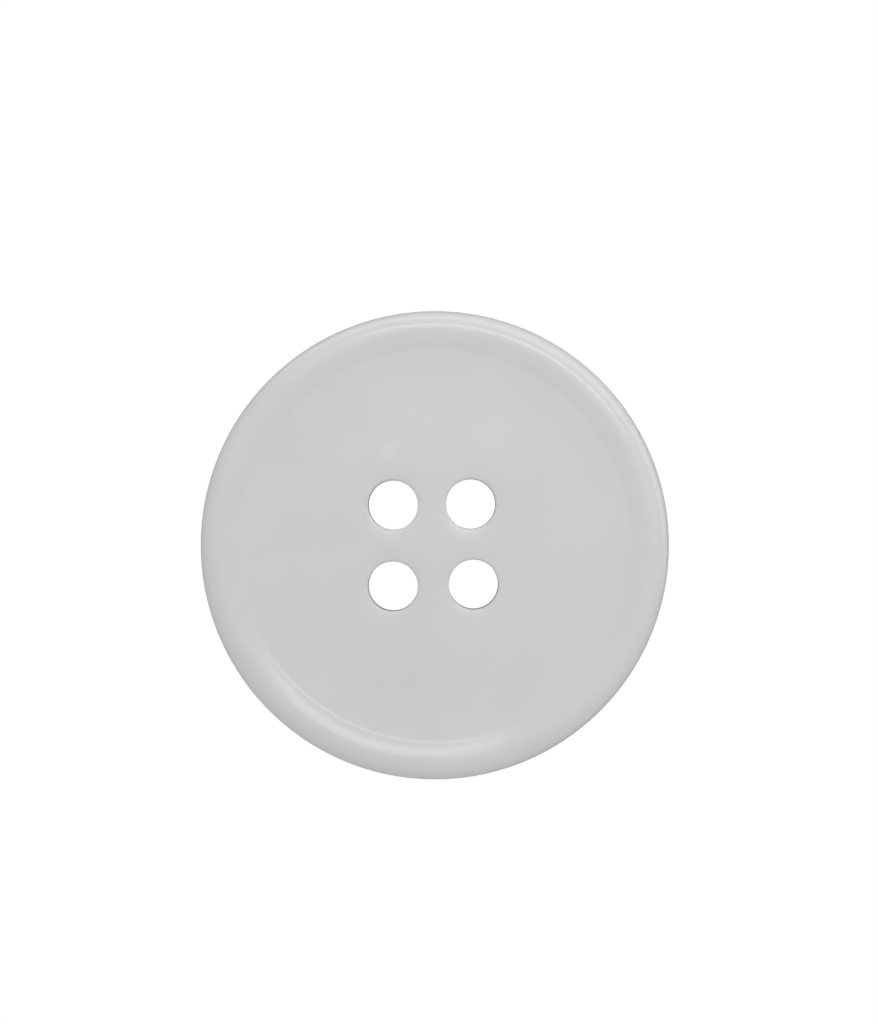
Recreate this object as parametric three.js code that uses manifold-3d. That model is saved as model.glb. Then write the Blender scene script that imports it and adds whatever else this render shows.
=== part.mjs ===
// A four-hole sew-on button, 40 ligne (25.4 mm, 1 inch), turned and drilled from one piece of
// cast polyester. Its face is a shallow dish inside a rounded rim, and its back is flat with a
// rounded shoulder. Four thread holes go right through it on a square. Each has softened edges and
// opens into a small funnel on the face, so that it doesn't cut the thread.
//
// Millimetres. +Z points out of the face, and the origin is the middle of the flat back, which
// lies on the cloth. +Y is the top of the button as it is looked at.

import * as THREE from "three";
import { mergeVertices } from "three/addons/utils/BufferGeometryUtils.js";
import Module from "manifold-3d";

// Body
const DIAMETER = 25.4;
const THICKNESS = 4.0; // from the back to the crest of the rim
const CREST_RADIUS = 11.74;
const FOOT_RADIUS = 10.6; // where the steep inside of the rim meets the dish
const FOOT_DEPTH = 0.3; // from the crest down to that foot
const DISH_SAG = 0.23; // from the foot down to the middle of the dish
const DISH_FLAT_RADIUS = 8.2; // the level middle of the dish
const EDGE_LOW = 3.0; // the widest part is an upright band between these two heights
const EDGE_HIGH = 3.44;
const BACK_FLAT_RADIUS = 8.6;

// Thread holes
const HOLE_RADIUS = 1.35;
const HOLE_SPACING = 4.3; // between the middles of neighbouring holes, before drift
const EDGE_ROUND = 0.12; // radius of the edge between the bore and the funnel
const BACK_ROUND = 0.25; // radius of the bore's edge at the back
const FUNNEL_DEPTH = 0.09;
const FUNNEL_WIDTH = 0.95;
// The drills don't sit quite true: drift is how far a hole's middle lies from its square corner.
const HOLES = [
  { corner: [-1, 1], drift: [-0.12, 0.03] },
  { corner: [1, 1], drift: [-0.2, 0.09] },
  { corner: [-1, -1], drift: [-0.12, -0.08] },
  { corner: [1, -1], drift: [-0.05, 0.02] },
];

// How finely the round shapes are cut into facets
const BODY_SEGMENTS = 80;
const HOLE_SEGMENTS = 32;
const STEPS = { shoulder: 8, bead: 8, flank: 8, dish: 4, edge: 4, funnel: 4 };
const CLEAR = 1; // how far a cutter runs past the faces

const QUARTER = Math.PI / 2;
const EDGE_RADIUS = DIAMETER / 2;
const DISH_HEIGHT = THICKNESS - FOOT_DEPTH - DISH_SAG;
const DISH_WIDTH = FOOT_RADIUS - DISH_FLAT_RADIUS;
const FLANK_WIDTH = CREST_RADIUS - FOOT_RADIUS;
const FOOT_SLOPE = (2 * DISH_SAG) / DISH_WIDTH; // of the dish where it meets the flank

const wasm = await Module();
wasm.setup();

// An arc of an ellipse round a centre, between two angles counted from the outward direction.
function arc(centre, [width, height], from, to, steps) {
  return new THREE.EllipseCurve(...centre, width, height, from, to, to < from).getPoints(steps);
}

// Points at even steps between two radii, each at the height that a formula gives for its share
// of the way.
function formed(from, to, steps, heightAt) {
  return Array.from({ length: steps + 1 }, (_, i) => {
    const share = i / steps;
    return new THREE.Vector2(from + (to - from) * share, heightAt(share));
  });
}

// Joins stretches of points into one outline, without the points that repeat where they meet.
function outlineOf(...stretches) {
  return stretches.flat().filter((p, i, all) => i === 0 || p.distanceTo(all[i - 1]) > 1e-6);
}

// An outline of radius and height, spun round the Z axis.
function spun(outline, segments) {
  return new THREE.LatheGeometry(outline, segments).rotateX(QUARTER);
}

// The dish steepens as it nears the rim.
function dishHeight(share) {
  return DISH_HEIGHT + DISH_SAG * share ** 2;
}

// The flank carries the dish's slope on, is steep for most of its width, and is level at the crest.
function flankHeight(share) {
  const runOn = FOOT_SLOPE * FLANK_WIDTH * share * (1 - share) ** 2;
  const rise = 1.25 * share - 0.125 * ((2 * share - 1) ** 5 + 1);
  return DISH_HEIGHT + DISH_SAG + runOn + FOOT_DEPTH * rise;
}

function funnelHeight(share) {
  return DISH_HEIGHT - FUNNEL_DEPTH * (1 - share) ** 2;
}

// From the middle of the back, round the edge and over the rim, to the middle of the dish.
function bodyGeometry() {
  const shoulderSize = [EDGE_RADIUS - BACK_FLAT_RADIUS, EDGE_LOW];
  const beadSize = [EDGE_RADIUS - CREST_RADIUS, THICKNESS - EDGE_HIGH];
  const outline = outlineOf(
    [new THREE.Vector2(0, 0)],
    arc([BACK_FLAT_RADIUS, EDGE_LOW], shoulderSize, -QUARTER, 0, STEPS.shoulder),
    arc([CREST_RADIUS, EDGE_HIGH], beadSize, 0, QUARTER, STEPS.bead),
    formed(FOOT_RADIUS, CREST_RADIUS, STEPS.flank, flankHeight).reverse(),
    formed(DISH_FLAT_RADIUS, FOOT_RADIUS, STEPS.dish, dishHeight).reverse(),
    [new THREE.Vector2(0, DISH_HEIGHT)],
  );
  return spun(outline, BODY_SEGMENTS);
}

// What one thread hole takes away, about its own axis: from below the back up to above the face.
function holeGeometry() {
  const slope = Math.atan((2 * FUNNEL_DEPTH) / FUNNEL_WIDTH); // of the funnel at its inner end
  const edgeMiddle = [
    HOLE_RADIUS + EDGE_ROUND,
    DISH_HEIGHT - FUNNEL_DEPTH - EDGE_ROUND * Math.cos(slope),
  ];
  const backMiddle = [HOLE_RADIUS + BACK_ROUND, BACK_ROUND];
  const funnelStart = edgeMiddle[0] - EDGE_ROUND * Math.sin(slope);
  const funnelEnd = funnelStart + FUNNEL_WIDTH;
  const outline = outlineOf(
    [new THREE.Vector2(0, -CLEAR), new THREE.Vector2(backMiddle[0], -CLEAR)],
    arc(backMiddle, [BACK_ROUND, BACK_ROUND], 3 * QUARTER, 2 * QUARTER, STEPS.edge),
    arc(edgeMiddle, [EDGE_ROUND, EDGE_ROUND], 2 * QUARTER, QUARTER + slope, STEPS.edge),
    formed(funnelStart, funnelEnd, STEPS.funnel, funnelHeight),
    [new THREE.Vector2(funnelEnd, DISH_HEIGHT + CLEAR), new THREE.Vector2(0, DISH_HEIGHT + CLEAR)],
  );
  return spun(outline, HOLE_SEGMENTS);
}

function solidOf(geometry) {
  const bare = geometry.clone();
  bare.deleteAttribute("normal");
  bare.deleteAttribute("uv");
  const merged = mergeVertices(bare);
  return new wasm.Manifold(
    new wasm.Mesh({
      numProp: 3,
      vertProperties: merged.attributes.position.array,
      triVerts: new Uint32Array(merged.index.array),
    }),
  );
}

function geometryOf(solid) {
  const { vertProperties, triVerts } = solid.getMesh();
  const geometry = new THREE.BufferGeometry()
    .setAttribute("position", new THREE.BufferAttribute(vertProperties, 3))
    .setIndex(new THREE.BufferAttribute(triVerts, 1));
  geometry.computeVertexNormals();
  return geometry;
}

function drilledBody() {
  const cutter = solidOf(holeGeometry());
  return HOLES.reduce((body, { corner, drift }) => {
    const [x, y] = corner.map((side, i) => (side * HOLE_SPACING) / 2 + drift[i]);
    return body.subtract(cutter.translate(x, y, 0));
  }, solidOf(bodyGeometry()));
}

const polyester = new THREE.MeshStandardMaterial({
  color: 0xd3d3d2,
  roughness: 0.3,
  metalness: 0,
});

const buttonBody = new THREE.Mesh(geometryOf(drilledBody()), polyester);
buttonBody.name = "button_body";

const button = new THREE.Group();
button.add(buttonBody);

export default button;
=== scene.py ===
"""The looks of a four-hole sew-on button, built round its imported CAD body.

The button is one closed mesh of quads with the CAD body's own sizes: a dished face in a rounded
rim, a flat back, and four thread holes whose mouths open in small funnels. It is glossy white
polyester, tumble-polished after turning. Lengths are in metres, +Z comes out of the face, and +Y
is the top of the button as it is looked at.
"""

import math

import bmesh
import bpy
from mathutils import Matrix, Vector


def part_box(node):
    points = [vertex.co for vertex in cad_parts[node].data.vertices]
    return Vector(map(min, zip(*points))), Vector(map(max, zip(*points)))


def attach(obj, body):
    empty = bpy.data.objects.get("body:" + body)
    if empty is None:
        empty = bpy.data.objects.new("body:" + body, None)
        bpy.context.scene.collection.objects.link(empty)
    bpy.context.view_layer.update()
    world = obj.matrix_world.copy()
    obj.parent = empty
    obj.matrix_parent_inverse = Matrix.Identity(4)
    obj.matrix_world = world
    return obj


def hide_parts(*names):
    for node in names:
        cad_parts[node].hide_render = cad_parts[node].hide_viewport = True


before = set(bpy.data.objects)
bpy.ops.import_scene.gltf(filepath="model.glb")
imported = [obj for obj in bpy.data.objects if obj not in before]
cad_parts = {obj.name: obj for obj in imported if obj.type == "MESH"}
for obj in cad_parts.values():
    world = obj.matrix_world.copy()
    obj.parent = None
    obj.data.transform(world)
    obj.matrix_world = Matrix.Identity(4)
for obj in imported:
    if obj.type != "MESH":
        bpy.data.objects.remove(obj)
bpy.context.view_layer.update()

MM = 0.001
CAD_NODE = "button_body"

# Body, as in the CAD
box_low, box_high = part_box(CAD_NODE)
EDGE_RADIUS = (box_high.x - box_low.x) / 2
THICKNESS = box_high.z - box_low.z
CREST_RADIUS = 11.74 * MM
FOOT_RADIUS = 10.6 * MM  # where the steep inside of the rim meets the dish
FOOT_DEPTH = 0.3 * MM  # from the rim's crest down to that foot
DISH_SAG = 0.23 * MM  # from the foot down to the middle of the dish
DISH_FLAT_RADIUS = 8.2 * MM  # the level middle of the dish
FOOT_SLOPE = 2 * DISH_SAG / (FOOT_RADIUS - DISH_FLAT_RADIUS)  # of the dish at the foot
FLANK_POWER = 5  # odd: the higher it is, the more of the flank has one slope
FLANK_STEEPNESS = FLANK_POWER / (FLANK_POWER - 1)  # that slope over the mean slope
DISH_HEIGHT = THICKNESS - FOOT_DEPTH - DISH_SAG
EDGE_LOW = 3.0 * MM  # the widest part is an upright band between these two heights
EDGE_HIGH = 3.44 * MM
BACK_FLAT_RADIUS = 8.6 * MM

# Thread holes, as in the CAD
HOLE_RADIUS = 1.35 * MM
HOLE_SPACING = 4.3 * MM
EDGE_ROUND = 0.12 * MM  # radius of the edge between the bore and the funnel
BACK_ROUND = 0.25 * MM  # radius of the bore's edge at the back
FUNNEL_DEPTH = 0.09 * MM
FUNNEL_WIDTH = 0.95 * MM
FUNNEL_SLOPE = math.atan(2 * FUNNEL_DEPTH / FUNNEL_WIDTH)  # at its inner end
MOUTH_RADIUS = HOLE_RADIUS + EDGE_ROUND * (1 - math.sin(FUNNEL_SLOPE))  # of that inner end
# Each hole's quadrant, and how far its middle lies from that quadrant's corner of the square.
HOLES = [
    {"corner": (-1, 1), "drift": (-0.12 * MM, 0.03 * MM)},
    {"corner": (1, 1), "drift": (-0.2 * MM, 0.09 * MM)},
    {"corner": (-1, -1), "drift": (-0.12 * MM, -0.08 * MM)},
    {"corner": (1, -1), "drift": (-0.05 * MM, 0.02 * MM)},
]

# Mesh: each hole has a square cell of its own, and rings run from the four cells out to the edge
CELL = 4.7 * MM
RINGS_START = 7.2 * MM  # radius of the first ring that is a true circle
COLUMNS = 32  # along one side of a cell
STEPS = {
    "funnel": 14,
    "edge": 8,
    "bore": 6,
    "back": 6,
    "middle": 6,
    "dish": 12,
    "flank": 28,
    "bead": 28,
    "band": 3,
    "shoulder": 28,
}
MERGE = 0.0001 * MM  # points closer than this become one


# ---------------------------------------------------------------- shape


def share_of(value, start, end):
    """How far a value has come from start to end, from 0 to 1."""
    return min(max((value - start) / (end - start), 0.0), 1.0)


def rim_height(radius):
    """Height of the face at a distance from the button's axis, as far out as the rim's crest."""
    dish = share_of(radius, DISH_FLAT_RADIUS, FOOT_RADIUS)
    flank = share_of(radius, FOOT_RADIUS, CREST_RADIUS)
    run_on = FOOT_SLOPE * (CREST_RADIUS - FOOT_RADIUS) * flank * (1 - flank) ** 2
    easing = FLANK_STEEPNESS / (2 * FLANK_POWER) * ((2 * flank - 1) ** FLANK_POWER + 1)
    rise = FLANK_STEEPNESS * flank - easing
    return DISH_HEIGHT + DISH_SAG * dish * dish + run_on + FOOT_DEPTH * rise


def hole_middle(hole):
    places = zip(hole["corner"], hole["drift"])
    return Vector([side * HOLE_SPACING / 2 + drift for side, drift in places])


def face_height(point):
    """Height of the face over a point: the dish and rim, less the funnels round the holes."""
    height = rim_height(point.length)
    for hole in HOLES:
        distance = (point - hole_middle(hole)).length
        share = share_of(distance, MOUTH_RADIUS, MOUTH_RADIUS + FUNNEL_WIDTH)
        height -= FUNNEL_DEPTH * (1 - share) ** 2
    return height


def arc(centre, size, start, end, steps):
    """(radius, height) points after the first on an arc of an ellipse, between angles in degrees."""
    angles = [math.radians(start + (end - start) * i / steps) for i in range(1, steps + 1)]
    return [(centre[0] + size[0] * math.cos(a), centre[1] + size[1] * math.sin(a)) for a in angles]


def stretch(start, end, steps):
    """Evenly spaced numbers after the first, from start to end."""
    return [start + (end - start) * i / steps for i in range(1, steps + 1)]


def bore_section():
    """The hole's section below its funnel: the rounded edge, the wall and the edge at the back."""
    edge_middle = DISH_HEIGHT - FUNNEL_DEPTH - EDGE_ROUND * math.cos(FUNNEL_SLOPE)
    edge = arc(
        (HOLE_RADIUS + EDGE_ROUND, edge_middle),
        (EDGE_ROUND, EDGE_ROUND),
        90 + math.degrees(FUNNEL_SLOPE),
        180,
        STEPS["edge"],
    )
    wall = [(HOLE_RADIUS, z) for z in stretch(edge_middle, BACK_ROUND, STEPS["bore"])]
    back_middle = (HOLE_RADIUS + BACK_ROUND, BACK_ROUND)
    back = arc(back_middle, (BACK_ROUND, BACK_ROUND), 180, 270, STEPS["edge"])
    return edge + wall + back


def edge_section():
    """The button's section from the first ring on the dish, over the rim, to the flat back."""
    dish = stretch(RINGS_START, FOOT_RADIUS, STEPS["dish"])
    flank = stretch(FOOT_RADIUS, CREST_RADIUS, STEPS["flank"])
    face = [(radius, rim_height(radius)) for radius in dish + flank]
    bead_size = (EDGE_RADIUS - CREST_RADIUS, THICKNESS - EDGE_HIGH)
    bead = arc((CREST_RADIUS, EDGE_HIGH), bead_size, 90, 0, STEPS["bead"])
    band = [(EDGE_RADIUS, z) for z in stretch(EDGE_HIGH, EDGE_LOW, STEPS["band"])]
    shoulder_size = (EDGE_RADIUS - BACK_FLAT_RADIUS, EDGE_LOW)
    shoulder = arc((BACK_FLAT_RADIUS, EDGE_LOW), shoulder_size, 0, -90, STEPS["shoulder"])
    return face + bead + band + shoulder


def square_loop(middle, half, stretches):
    """Points round a square, from its lower right corner, with each side in equal stretches."""
    angles = [math.radians(90 * i / COLUMNS - 45) for i in range(COLUMNS)]
    places = [(2 * k + 1 + math.tan(a)) / stretches - 1 for k in range(stretches) for a in angles]
    sides = (
        [(1, t) for t in places]
        + [(-t, 1) for t in places]
        + [(-1, -t) for t in places]
        + [(t, -1) for t in places]
    )
    return [middle + half * Vector(place) for place in sides]


def circle_towards(loop, middle, radius):
    """A circle's points in the same directions from its middle as another loop's points."""
    return [middle + radius * (point - middle).normalized() for point in loop]


def even_circle(count, radius):
    """Evenly spaced points on a circle round the button's axis, from its lower right."""
    angles = [2 * math.pi * i / count - math.pi / 4 for i in range(count)]
    return [Vector((radius * math.cos(a), radius * math.sin(a))) for a in angles]


def loops_between(first, last, steps):
    """Loops in the plan, from the first to the last, with both of them."""
    return [[a.lerp(b, i / steps) for a, b in zip(first, last)] for i in range(steps + 1)]


def on_face(loop):
    return [Vector((*point, face_height(point))) for point in loop]


def level(loop, height):
    return [Vector((*point, height)) for point in loop]


def hole_rows(hole):
    """Rows from a cell's outline on the face, down through its hole, to its outline on the back."""
    middle = hole_middle(hole)
    cell = square_loop(Vector(hole["corner"]) * CELL / 2, CELL / 2, 1)
    mouth = circle_towards(cell, middle, MOUTH_RADIUS)
    back_mouth = circle_towards(cell, middle, HOLE_RADIUS + BACK_ROUND)
    funnel = [on_face(loop) for loop in loops_between(cell, mouth, STEPS["funnel"])]
    bore = [level(circle_towards(cell, middle, radius), z) for radius, z in bore_section()]
    back = [level(loop, 0) for loop in loops_between(back_mouth, cell, STEPS["back"])]
    return funnel + bore + back[1:]


def edge_rows():
    """Rows from the four cells' outline on the face, out over the rim and round to the back."""
    cells = square_loop(Vector((0, 0)), CELL, 2)
    first_ring = even_circle(len(cells), RINGS_START)
    back_ring = even_circle(len(cells), BACK_FLAT_RADIUS)
    middle = [on_face(loop) for loop in loops_between(cells, first_ring, STEPS["middle"])]
    rings = [level(even_circle(len(cells), radius), z) for radius, z in edge_section()]
    back = [level(loop, 0) for loop in loops_between(back_ring, cells, STEPS["back"])]
    return middle + rings + back[1:]


def add_band(mesh, rows):
    """Joins each row, a closed loop of points, to the next one with a ring of quads."""
    loops = [[mesh.verts.new(point) for point in row] for row in rows]
    for upper, lower in zip(loops, loops[1:]):
        for i in range(len(upper)):
            mesh.faces.new((upper[i - 1], upper[i], lower[i], lower[i - 1]))


def linked(name, data):
    """Puts a new object with this data into the scene."""
    item = bpy.data.objects.new(name, data)
    bpy.context.scene.collection.objects.link(item)
    return item


def smooth_piece(name, mesh):
    """Puts a mesh into the scene as a smooth-shaded object."""
    data = bpy.data.meshes.new(name)
    mesh.to_mesh(data)
    mesh.free()
    data.polygons.foreach_set("use_smooth", [True] * len(data.polygons))
    return linked(name, data)


def button_piece():
    """The whole button: a band of quads for each hole's cell, and one for all the rest."""
    mesh = bmesh.new()
    for hole in HOLES:
        add_band(mesh, hole_rows(hole))
    add_band(mesh, edge_rows())
    bmesh.ops.remove_doubles(mesh, verts=mesh.verts, dist=MERGE)
    bmesh.ops.recalc_face_normals(mesh, faces=mesh.faces)
    return smooth_piece("button", mesh)


# ---------------------------------------------------------------- materials

WHITE = (1, 1, 1, 1)
REFRACTION = 1.54  # polyester's index of refraction

# Tint: two close off-whites in soft clouds, and one painted highlight on the dish: a soft pale spot
# of light painted into the colour. Every SCALE here is how many features a noise has to a metre.
DEEP_TINT = (0.659, 0.66, 0.651, 1)
PALE_TINT = (0.677, 0.678, 0.669, 1)
CLOUD_SCALE = 260
CLOUD_LIMITS = (0.35, 0.65)  # the noise's values that give the one tint and the other
# A painted highlight: a soft pale spot of a lamp's light on the dish, put into the colour.
PAINTED_HIGHLIGHT_PLACE = (-2.5 * MM, 5.2 * MM, DISH_HEIGHT)
PAINTED_HIGHLIGHT_RADIUS = 0.75 * MM
PAINTED_HIGHLIGHT_TINT = (0.705, 0.705, 0.695, 1)
PAPER_TINT = (0.1, 0.1, 0.1, 1)
PAPER_GLOW = 1.0

# Finishes: roughness, and the depth of the tool's marks that are left in each
POLISHED_ROUGHNESS = 0.205
POLISHED_MARKS = 0.0003 * MM
DRILLED_ROUGHNESS = 0.32
DRILLED_MARKS = 0.002 * MM
TURNED_ROUGHNESS = 0.3
TURNED_MARKS = 0.0015 * MM
POLISHED, DRILLED, TURNED = range(3)  # their places among the button's materials
FACES_BACK = -0.999  # a face whose normal has a Z below this is on the flat back
POLISH_SCALE = 700
GLOSS_DRIFT = 0.02

# Relief
WAVE_SCALE = 330  # slow waves
WAVE_DEPTH = 0.012 * MM
PEEL_SCALE = 1500  # finer unevenness
PEEL_DEPTH = 0.0012 * MM
RING_SCALE = 3500
BORE_RING_SCALE = 5000
HAIRLINE_ANGLES = (12, 57, 98, 151)
HAIRLINE_STRETCH = (9000, 260, 260)  # close together one way, and long the other
HAIRLINE_CREST = (0.68, 0.74)  # the noise's values where a hairline starts and is deepest
HAIRLINE_DEPTH = 0.0005 * MM

# The Mix node's colour sockets, by number because their names repeat
MIX_FIRST, MIX_SECOND, MIX_RESULT = 6, 7, 2


def add_node(tree, kind, inputs=None, **settings):
    """Adds a shader node. An input's value is a number, a colour or another node's output."""
    node = tree.nodes.new("ShaderNode" + kind)
    for name, value in settings.items():
        setattr(node, name, value)
    for name, value in (inputs or {}).items():
        if isinstance(value, bpy.types.NodeSocket):
            tree.links.new(value, node.inputs[name])
        else:
            node.inputs[name].default_value = value
    return node


def clouded_tint_and_painted_highlight(tree, place):
    """Two close tints of off-white in soft clouds, and one painted highlight: a pale spot of light
    in the face.
    """
    cloud = add_node(tree, "TexNoise", {"Vector": place, "Scale": CLOUD_SCALE, "Detail": 3})
    ramp = add_node(tree, "ValToRGB", {"Fac": cloud.outputs["Fac"]})
    ends = zip(ramp.color_ramp.elements, CLOUD_LIMITS, (DEEP_TINT, PALE_TINT))
    for element, limit, tint in ends:
        element.position = limit
        element.color = tint
    # The painted highlight: the colour turns pale near its place and fades out over its radius.
    away = add_node(tree, "VectorMath", {0: place, 1: PAINTED_HIGHLIGHT_PLACE}, operation="DISTANCE")
    share = add_node(
        tree,
        "MapRange",
        {"Value": away.outputs["Value"], "From Max": PAINTED_HIGHLIGHT_RADIUS, "To Min": 1, "To Max": 0},
        interpolation_type="SMOOTHSTEP",
    )
    inputs = {
        "Factor": share.outputs["Result"],
        MIX_FIRST: ramp.outputs["Color"],
        MIX_SECOND: PAINTED_HIGHLIGHT_TINT,
    }
    return add_node(tree, "Mix", inputs, data_type="RGBA").outputs[MIX_RESULT]


def patchy_gloss(tree, place, roughness):
    """Roughness that drifts a little over the surface, as tumble polishing leaves it."""
    patches = add_node(tree, "TexNoise", {"Vector": place, "Scale": POLISH_SCALE, "Detail": 4})
    limits = {"To Min": roughness - GLOSS_DRIFT, "To Max": roughness + GLOSS_DRIFT}
    return add_node(tree, "MapRange", {"Value": patches.outputs["Fac"], **limits}).outputs["Result"]


def bumped(tree, height, depth, before=None):
    """Adds a relief of the given depth to the surface normal, on top of an earlier one."""
    inputs = {"Height": height, "Distance": depth, "Strength": 1}
    if before is not None:
        inputs["Normal"] = before
    return add_node(tree, "Bump", inputs).outputs["Normal"]


def ring_marks(tree, place):
    """Fine lathe rings: a noise that changes only with the distance from the button's axis."""
    flat = add_node(tree, "VectorMath", {0: place, 1: (1, 1, 0)}, operation="MULTIPLY")
    radius = add_node(tree, "VectorMath", {0: flat.outputs["Vector"]}, operation="LENGTH")
    inputs = {"W": radius.outputs["Value"], "Scale": RING_SCALE, "Detail": 2}
    return add_node(tree, "TexNoise", inputs, noise_dimensions="1D").outputs["Fac"]


def bore_marks(tree, place):
    """The drill's rings down a hole's wall: a noise that changes only with the height."""
    height = add_node(tree, "SeparateXYZ", {"Vector": place}).outputs["Z"]
    inputs = {"W": height, "Scale": BORE_RING_SCALE, "Detail": 2}
    return add_node(tree, "TexNoise", inputs, noise_dimensions="1D").outputs["Fac"]


def hairlines(tree, place, angle):
    """Sparse faint scratches in one direction: the crests of a noise drawn out along it."""
    turn = (0, 0, math.radians(angle))
    inputs = {"Vector": place, "Rotation": turn, "Scale": HAIRLINE_STRETCH}
    drawn = add_node(tree, "Mapping", inputs)
    noise = add_node(tree, "TexNoise", {"Vector": drawn.outputs["Vector"], "Scale": 1, "Detail": 1})
    low, high = HAIRLINE_CREST
    crest = {"Value": noise.outputs["Fac"], "From Min": low, "From Max": high}
    return add_node(tree, "MapRange", crest).outputs["Result"]


def polyester(name, roughness, tool_marks, mark_depth):
    """Cast polyester with a tool's marks still faintly in it, under a tumble-polished gloss."""
    material = bpy.data.materials.new(name)
    material.use_nodes = True
    tree = material.node_tree
    place = add_node(tree, "TexCoord").outputs["Object"]
    waves = add_node(tree, "TexNoise", {"Vector": place, "Scale": WAVE_SCALE, "Detail": 1})
    peel = add_node(tree, "TexNoise", {"Vector": place, "Scale": PEEL_SCALE, "Detail": 2})
    normal = bumped(tree, waves.outputs["Fac"], WAVE_DEPTH)
    normal = bumped(tree, peel.outputs["Fac"], PEEL_DEPTH, normal)
    normal = bumped(tree, tool_marks(tree, place), mark_depth, normal)
    for angle in HAIRLINE_ANGLES:
        normal = bumped(tree, hairlines(tree, place, angle), -HAIRLINE_DEPTH, normal)
    shader = tree.nodes["Principled BSDF"]
    shader.inputs["IOR"].default_value = REFRACTION
    # The base colour carries the painted highlight on the dish.
    tree.links.new(clouded_tint_and_painted_highlight(tree, place), shader.inputs["Base Color"])
    tree.links.new(patchy_gloss(tree, place, roughness), shader.inputs["Roughness"])
    tree.links.new(normal, shader.inputs["Normal"])
    return material


def paper():
    """The white sheet under the button. It gives its own light, and hardly takes any."""
    material = bpy.data.materials.new("paper")
    material.use_nodes = True
    shader = material.node_tree.nodes["Principled BSDF"]
    shader.inputs["Base Color"].default_value = PAPER_TINT
    shader.inputs["Roughness"].default_value = 1.0
    shader.inputs["Specular IOR Level"].default_value = 0.0
    shader.inputs["Emission Color"].default_value = WHITE
    shader.inputs["Emission Strength"].default_value = PAPER_GLOW
    return material


# ---------------------------------------------------------------- studio

SKY_LEVEL = 0.43  # level with the horizon, on the average
SKY_SLOPE = (-0.154, -0.221, 0.27)  # it brightens upward and on the side away from the lamps

# Camera
FIELD = 55.56 * MM  # what it sees across the picture's longer side
AIM = (0.226 * MM, 1.806 * MM)
SENSOR_WIDTH = 36  # in millimetres, like the lens
LENS = 200
CLIP_START = 0.01
CLIP_END = 10

# Sheet
SHEET_GAP = 0.05 * MM  # keeps the sheet and the button's flat back out of one plane
SHEET_FLAT_RADIUS = 1.0
SHEET_CURVE = 0.5
SHEET_STEPS = 16
SHEET_SEGMENTS = 96

# Lamps, in the order they are added: angles in degrees, sizes in metres
LAMP_DISTANCE = 0.105
LAMPS = {
    "panel": {"azimuth": 62, "tilt": 55, "width": 0.51, "height": 0.05, "radiance": 1.62},
    "edge": {"azimuth": 60, "tilt": 82, "width": 0.3, "height": 0.04, "radiance": 0.42},
    "strip": {"azimuth": 71, "tilt": 22, "width": 0.062, "height": 0.009, "radiance": 4.8},
}


def add_floor():
    """A white sheet that curves up far round the button, so that no edge of it shows behind."""
    height = box_low.z - SHEET_GAP
    curve_middle = (SHEET_FLAT_RADIUS, height + SHEET_CURVE)
    curve = arc(curve_middle, (SHEET_CURVE, SHEET_CURVE), -90, 0, SHEET_STEPS)
    section = [(SHEET_FLAT_RADIUS, height)] + curve
    rows = [level(even_circle(SHEET_SEGMENTS, radius), z) for radius, z in section]
    mesh = bmesh.new()
    add_band(mesh, rows)
    mesh.verts.ensure_lookup_table()
    mesh.faces.new(mesh.verts[:SHEET_SEGMENTS])
    floor = smooth_piece("floor", mesh)
    floor.data.materials.append(paper())
    floor.visible_diffuse = False
    floor.visible_glossy = False
    floor.visible_shadow = False


def add_lamp(name, azimuth, tilt, width, height, radiance):
    """A soft panel facing the button: azimuth from +X, and tilt from straight above."""
    data = bpy.data.lights.new(name, "AREA")
    data.shape = "RECTANGLE"
    data.size = width
    data.size_y = height
    data.energy = radiance * width * height * math.pi
    lamp = linked(name, data)
    a, t = math.radians(azimuth), math.radians(tilt)
    away = Vector((math.cos(a) * math.sin(t), math.sin(a) * math.sin(t), math.cos(t)))
    lamp.location = away * LAMP_DISTANCE
    lamp.rotation_euler = away.to_track_quat("Z", "Y").to_euler()
    lamp.visible_camera = False


def add_sky():
    """White surroundings, brighter above and on the side away from the lamps."""
    world = bpy.data.worlds.new("studio")
    bpy.context.scene.world = world
    world.use_nodes = True
    tree = world.node_tree
    direction = add_node(tree, "TexCoord").outputs["Generated"]
    along = add_node(tree, "VectorMath", {0: direction, 1: SKY_SLOPE}, operation="DOT_PRODUCT")
    strength = add_node(tree, "Math", {0: along.outputs["Value"], 1: SKY_LEVEL}, operation="ADD")
    background = tree.nodes["Background"]
    background.inputs["Color"].default_value = WHITE
    tree.links.new(strength.outputs["Value"], background.inputs["Strength"])


def add_camera():
    """Looks straight down on the face. The button sits a little left of and below the middle."""
    data = bpy.data.cameras.new("camera")
    data.sensor_width = SENSOR_WIDTH
    data.lens = LENS
    data.clip_start = CLIP_START
    data.clip_end = CLIP_END
    camera = linked("camera", data)
    distance = FIELD * data.lens / data.sensor_width
    camera.location = (*AIM, EDGE_HIGH + distance)
    bpy.context.scene.camera = camera


def finish_of(face):
    """The place of a face's finish among the button's materials."""
    if min((face.center.xy - hole_middle(hole)).length for hole in HOLES) < MOUTH_RADIUS:
        return DRILLED
    if face.normal.z < FACES_BACK:
        return TURNED
    return POLISHED


def add_materials(piece):
    """The polished body, the drilled holes and the turned flat of the back."""
    materials = piece.data.materials
    materials.append(
        polyester("polyester polished", POLISHED_ROUGHNESS, ring_marks, POLISHED_MARKS)
    )
    materials.append(polyester("polyester drilled", DRILLED_ROUGHNESS, bore_marks, DRILLED_MARKS))
    materials.append(polyester("polyester turned", TURNED_ROUGHNESS, ring_marks, TURNED_MARKS))
    for face in piece.data.polygons:
        face.material_index = finish_of(face)


button = button_piece()
add_materials(button)
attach(button, "root")
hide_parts(CAD_NODE)

add_camera()
add_floor()
add_sky()
for name, settings in LAMPS.items():
    add_lamp(name, **settings)
bpy.context.scene.view_settings.view_transform = "Standard"
